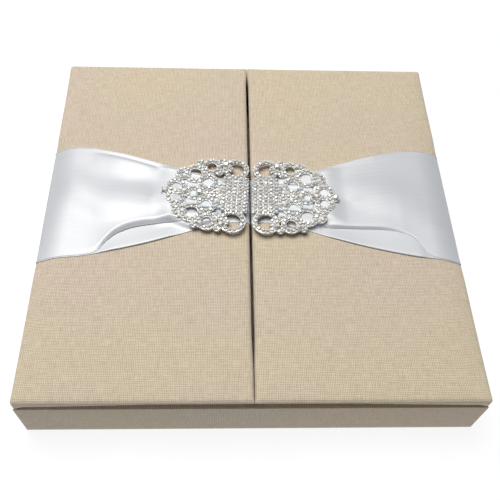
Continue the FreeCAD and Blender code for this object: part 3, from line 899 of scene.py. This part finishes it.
def satin(side):
    """One ribbon: over the door from its meeting edge, round the outer edge and down the spine."""
    sign = 1 if side == "right" else -1
    route = ribbon_path()
    across = 128
    clear_selection()
    bpy.ops.mesh.primitive_grid_add(x_subdivisions=len(route) - 1, y_subdivisions=across - 1, size=1)
    piece = named(side + "_satin_ribbon")
    order = sorted(piece.data.vertices, key=lambda v: (round(v.co.x, 5), -round(v.co.y, 5)))
    runs = [0]
    for before, after in zip(route, route[1:]):
        runs.append(runs[-1] + math.dist(before[:2], after[:2]))
    places = {}
    for row, (x, z, out_x, out_z) in enumerate(route):
        line = list(spline(ribbon_section(side, x), across))
        worn = 0
        for column, (y, height) in enumerate(line):
            if column:
                worn += math.dist(line[column - 1], line[column])
            vertex = order[row * across + column]
            rise = bunched(x, y) * max(0, out_z)
            y += RIBBON_MIDDLE
            rise += pad_rise(x, y) * ramp(z, BOARD_TOP, DOOR_HIGH.z)
            lifted = height * (1 - PRESSED * abs(out_x))
            place = x + out_x * lifted - draw_in(x, y, z)
            vertex.co = Vector((sign * place, y, z + out_z * lifted + rise)) * MM
            places[vertex.index] = (runs[row] * MM, worn * MM)
    layer = piece.data.uv_layers.active
    layer.name = "cloth"
    for corner in piece.data.loops:
        layer.data[corner.index].uv = places[corner.vertex_index]
    if sign < 0:
        piece.data.flip_normals()
    thick = piece.modifiers.new("thickness", "SOLIDIFY")
    thick.thickness = SATIN_THICKNESS * MM
    thick.offset = -1
    apply_modifiers(piece)
    smooth(piece, 80)
    dress(piece, SATIN, "satin", side + "_ribbon", side + "_ribbon_tail")
    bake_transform(piece)


for side in ("left", "right"):
    satin(side)


# Clasp

# How each half of the clasp was set by hand: degrees of lean, and millimetres to the right and to the back
CLASP_SET = {"left": (3.8, -0.7, 0.7), "right": (2.2, 0.5, 0.9)}
# Metal taken off round the clasp's openings and off its back
OPENING_TRIM = 0.35
SEAM_OPENING_TRIM = 0.6
BACK_TRIM = 0.8
# Small plates, one that narrows the loop at the seam to a leaf and the rest in the notches between the loops:
# distance from the seam, distance from the middle and radius
PLATES = [(9.6, 14.6, 2.0), (12.6, 18.2, 1.8), (13.6, 12.6, 2.0), (22.6, 17.2, 1.6), (31.8, 7.7, 1.8)]
# The loops at the seam end at this distance from it, and start at this distance from the middle
SEAM_LOOP_END, SEAM_LOOP_START = 12, 9
# Small stones by size: width, and least distance from their middle to the metal's rim
SMALL_STONES = [(1.5, 0.7), (1.2, 0.55), (0.9, 0.42)]
# Gap between stones, pitch of the spots tried for them, and depth of a row of spots
STONE_GAP = 0.01
SPOT_PITCH = 0.25
ROW_DEPTH = 0.3
# Most tilt of a stone, in degrees, and size of a claw beside its stone's width
STONE_TILT = 14
CLAW = 0.24
CUSHION_LIFT = 0.45


def islands(items, beside):
    """Groups of items that hang together, each found from one item by way of those beside it."""
    left = set(items)
    groups = []
    while left:
        group = [left.pop()]
        for item in group:
            for other in beside(item):
                if other in left:
                    left.discard(other)
                    group.append(other)
        groups.append(group)
    return groups


def openings(mesh):
    """Walls of each opening in a flat piece of openwork: every ring of upright faces but the widest."""
    walls = [face for face in mesh.faces if abs(face.normal.z) < 0.5]
    rings = islands(walls, lambda face: [other for edge in face.edges for other in edge.link_faces])

    def width(ring):
        places = [vertex.co.x for face in ring for vertex in face.verts]
        return max(places) - min(places)

    return sorted(rings, key=width)[:-1]


def clasp_metal():
    """The right half's openwork: openings filed wider than in the CAD, and rims softened as by plating."""
    piece = cad_copy("right_clasp_frame", "right_clasp_openwork")
    foot, top = span("right_clasp_frame")[0].z + BACK_TRIM, span("right_clasp_frame")[1].z
    mesh = bmesh.new()
    mesh.from_mesh(piece.data)
    moves = []
    for ring in openings(mesh):
        walls = set(ring)
        for vertex in {vertex for face in ring for vertex in face.verts}:
            normals = [face.normal for face in vertex.link_faces if face in walls]
            inward = -sum(normals, Vector()).normalized()
            aside = abs(vertex.co.y / MM - RIBBON_MIDDLE)
            at_seam = vertex.co.x / MM < SEAM_LOOP_END and aside > SEAM_LOOP_START
            trim = SEAM_OPENING_TRIM if at_seam else OPENING_TRIM
            moves.append((vertex, inward * trim * MM / max(0.6, -inward.dot(normals[0]))))
    for vertex, move in moves:
        vertex.co += move
    for vertex in mesh.verts:
        vertex.co.z = max(vertex.co.z, foot * MM)
    mesh.to_mesh(piece.data)
    mesh.free()
    plates = []
    for x, y, radius in PLATES:
        for half in (-1, 1):
            clear_selection()
            middle = Vector((x, RIBBON_MIDDLE + half * y, (foot + top) / 2 - 0.02)) * MM
            bpy.ops.mesh.primitive_cylinder_add(
                vertices=20, radius=radius * MM, depth=(top - foot) * MM, location=middle)
            bpy.ops.object.transform_apply()
            plates.append(bpy.context.object)
    focus(piece)
    for plate in plates:
        plate.select_set(True)
    bpy.ops.object.join()
    soft = piece.modifiers.new("soft_rim", "BEVEL")
    soft.width = 0.2 * MM
    soft.segments = 2
    soft.limit_method = "ANGLE"
    soft.angle_limit = math.radians(60)
    apply_modifiers(piece)
    smooth(piece, 40)
    return piece


def stone_places():
    """Middle, width and foot of every stone on the right half, from the islands of its CAD mesh."""
    mesh = bmesh.new()
    mesh.from_mesh(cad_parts["right_clasp_stones"].data)
    bmesh.ops.remove_doubles(mesh, verts=mesh.verts, dist=WELD * MM)
    found = []
    for island in islands(mesh.verts, lambda vertex: [edge.other_vert(vertex) for edge in vertex.link_edges]):
        xs, ys, zs = zip(*(vertex.co / MM for vertex in island))
        found.append((sum(xs) / len(xs), sum(ys) / len(ys), max(xs) - min(xs), min(zs)))
    mesh.free()
    return sorted(found)


def pattern_stone():
    """A round brilliant of unit width: a table on a ring of facets over a low girdle, its back flat."""
    clear_selection()
    bpy.ops.mesh.primitive_cone_add(vertices=8, radius1=0.5, radius2=0.28, depth=0.3, location=(0, 0, 0.27))
    piece = bpy.context.object
    bpy.ops.object.transform_apply()
    pick(piece, "FACE", lambda face: face.normal.z > 0.9)
    bpy.ops.transform.rotate(value=math.pi / 8, orient_axis="Z", center_override=(0, 0, 0))
    mode("OBJECT")
    pick(piece, "FACE", lambda face: abs(face.normal.z) < 0.9)
    bpy.ops.mesh.quads_convert_to_tris()
    mode("OBJECT")
    extrude(piece, lambda face: face.normal.z < -0.9, (0, 0, -0.12))
    return piece


def pattern_claw():
    """A small bead of metal, of unit width, that holds a stone's edge."""
    clear_selection()
    bpy.ops.mesh.primitive_ico_sphere_add(subdivisions=1, radius=0.5)
    return bpy.context.object


def copies(pattern, name, settings):
    """Copies of a pattern at given places, turns and sizes, joined to one piece."""
    made = []
    for place in settings:
        copy = put_in(name, pattern.data.copy())
        copy.data.transform(place)
        made.append(copy)
    clear_selection()
    for copy in made:
        copy.select_set(True)
    bpy.context.view_layer.objects.active = made[0]
    bpy.ops.object.join()
    return named(name)


def pave(metal, stones):
    """Middle, width and foot of small stones, in rows along the rims of the bare metal and between them."""
    tree = BVHTree.FromObject(metal, bpy.context.evaluated_depsgraph_get())
    low, high = span("right_clasp_frame")
    top = high.z

    def on_metal(x, y):
        hit = tree.ray_cast(Vector((x, y, top + 5)) * MM, Vector((0, 0, -1)))[0]
        return hit is not None and hit.z / MM > top - 0.4

    def row(depth, nearest):
        return round(abs(depth - nearest - ROW_DEPTH / 2) / ROW_DEPTH)

    rows, columns = (int((high[axis] - low[axis]) / SPOT_PITCH) + 2 for axis in (1, 0))
    on, off = [], []
    for j in range(rows):
        for i in range(columns):
            x, y = low.x + SPOT_PITCH * i, low.y + SPOT_PITCH * j
            (on if on_metal(x, y) else off).append((x, y))
    rim = KDTree(len(off))
    for x, y in off:
        rim.insert((x, y, 0), 0)
    rim.balance()
    inside = [(x, y, rim.find((x, y, 0))[2]) for x, y in on]
    taken = [(x, y, width / 2) for x, y, width, _ in stones]
    found = []
    for width, nearest in SMALL_STONES:
        for x, y, depth in sorted(inside, key=lambda spot: (row(spot[2], nearest), spot[0], spot[1])):
            if depth < nearest:
                continue
            if all(math.hypot(x - a, y - b) >= width / 2 + r + STONE_GAP for a, b, r in taken):
                taken.append((x, y, width / 2))
                found.append((x, y, width, top))
    return found


def paint_facet_reflections(piece, seed):
    """Paint each facet of the stones its own brightness, higher on the tables, as painted reflections and
    glints.
    """
    chance = random.Random(seed)
    reflection_tones = piece.data.attributes.new("painted_reflection", "FLOAT", "FACE")
    for value, polygon in zip(reflection_tones.data, piece.data.polygons):
        value.value = chance.uniform(0.45, 1) if polygon.normal.z > 0.85 else chance.uniform(0, 0.85)


def clasp():
    """Both halves of the clasp: cast openwork, stones and the claws that hold them."""
    metal = clasp_metal()
    stones = stone_places()
    stones += pave(metal, stones)
    chance = random.Random(11)
    brilliant, bead = pattern_stone(), pattern_claw()
    set_stones, set_claws = [], []
    for x, y, width, foot in stones:
        turn = chance.uniform(0, math.tau)
        tilt = Matrix.Rotation(math.radians(chance.uniform(-STONE_TILT, STONE_TILT)), 4, "X")
        tilt = tilt @ Matrix.Rotation(math.radians(chance.uniform(-STONE_TILT, STONE_TILT)), 4, "Y")
        place = Matrix.Translation(Vector((x, y, foot)) * MM)
        scale = Matrix.Scale(width * MM, 4)
        set_stones.append(place @ tilt @ Matrix.Rotation(turn, 4, "Z") @ scale)
        for quarter in range(4):
            angle = turn + quarter * math.pi / 2
            corner = Vector((x + math.cos(angle) * width * 0.5, y + math.sin(angle) * width * 0.5,
                             foot + CLAW * width))
            set_claws.append(Matrix.Translation(corner * MM) @ Matrix.Scale(CLAW * width * MM, 4))
    gems = copies(brilliant, "right_clasp_brilliants", set_stones)
    claws = copies(bead, "right_clasp_claws", set_claws)
    for pattern in (brilliant, bead):
        bpy.data.objects.remove(pattern)
    pad_top = PAD_HIGH.z + BACK_TRIM
    pad_foot = PAD_LOW + Vector((0, 0, CUSHION_LIFT))
    pad = block("right_clasp_cushion", pad_foot, (PAD_HIGH.x, PAD_HIGH.y, pad_top))
    round_edges(pad, upright, 2.0, 4)
    round_edges(pad, level(pad_top), 0.4)
    smooth(pad)
    for right, material, slot, node in (
            (metal, SILVER, "silver_plate", "clasp_frame"),
            (gems, CRYSTAL, "crystal", "clasp_stones"),
            (claws, SILVER, "silver_plate", None),
            (pad, FELT, "felt", "clasp_pad")):
        left = mirrored(right, right.name.replace("right", "left"))
        for seed, (side, piece) in enumerate((("right", right), ("left", left))):
            focus(piece)
            lean, aside, behind = CLASP_SET[side]
            bpy.ops.transform.rotate(value=math.radians(lean), orient_axis="Z",
                                     center_override=(0, RIBBON_MIDDLE * MM, 0))
            bpy.ops.transform.translate(value=(aside * MM, behind * MM, 0))
            bpy.ops.object.transform_apply()
            dress(piece, material, slot, *([f"{side}_{node}"] if node else []))
            # The stones' reflections and glints are painted facet by facet
            if right is gems:
                paint_facet_reflections(piece, seed)
            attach(piece, side + "_door")


clasp()


# Boards and magnets inside the cloth

INSIDE = {"board": GREYBOARD, "tray_floor": GREYBOARD, "wall": GREYBOARD, "magnets": MAGNET}
for node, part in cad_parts.items():
    for key, material in INSIDE.items():
        if key in node and "cloth" not in node and "lining" not in node:
            part.data.materials.clear()
            part.data.materials.append(material)


# Stage, light and camera

def floor():
    """A wide pale table."""
    clear_selection()
    bpy.ops.mesh.primitive_plane_add(size=6, location=(0, 0, -0.0002))
    piece = bpy.context.object
    piece.name = "table"
    bpy.ops.object.transform_apply()
    piece.data.materials.append(TABLE)


def soft_box(name, place, aim, width, power, tint):
    """A soft studio light: its place and aim in metres, its side and its power."""
    lamp = bpy.data.lights.new(name, "AREA")
    lamp.shape = "SQUARE"
    lamp.size = width
    lamp.energy = power
    lamp.color = linear(tint)[:3]
    holder = put_in(name, lamp)
    holder.location = place
    holder.rotation_euler = (Vector(aim) - Vector(place)).to_track_quat("-Z", "Y").to_euler()


def camera():
    """The photograph's point of view."""
    lens = bpy.data.cameras.new("photo_view")
    lens.lens = 48.68
    lens.sensor_width = 36
    lens.clip_start = 0.01
    view = put_in("photo_view", lens)
    right, up, back = (0.9991, -0.01936, 0.03774), (-0.00464, 0.83463, 0.55079), (-0.04216, -0.55047, 0.83379)
    place = Vector((-12.517, -178.74, 265.116)) * MM
    view.matrix_world = Matrix([(right[n], up[n], back[n], place[n]) for n in range(3)] + [(0, 0, 0, 1)])
    bpy.context.scene.camera = view


floor()
soft_box("overhead", (-0.19, 0.25, 1.0), (0, 0, 0), 0.75, 13.5, "#FFFDFA")
world = bpy.data.worlds.new("room")
bpy.context.scene.world = world
world.use_nodes = True
room = world.node_tree
set_inputs(room, room.nodes["Background"], {"Color": linear("#E8EFFF"), "Strength": 0.14})
bpy.context.scene.view_settings.view_transform = "Standard"
camera()
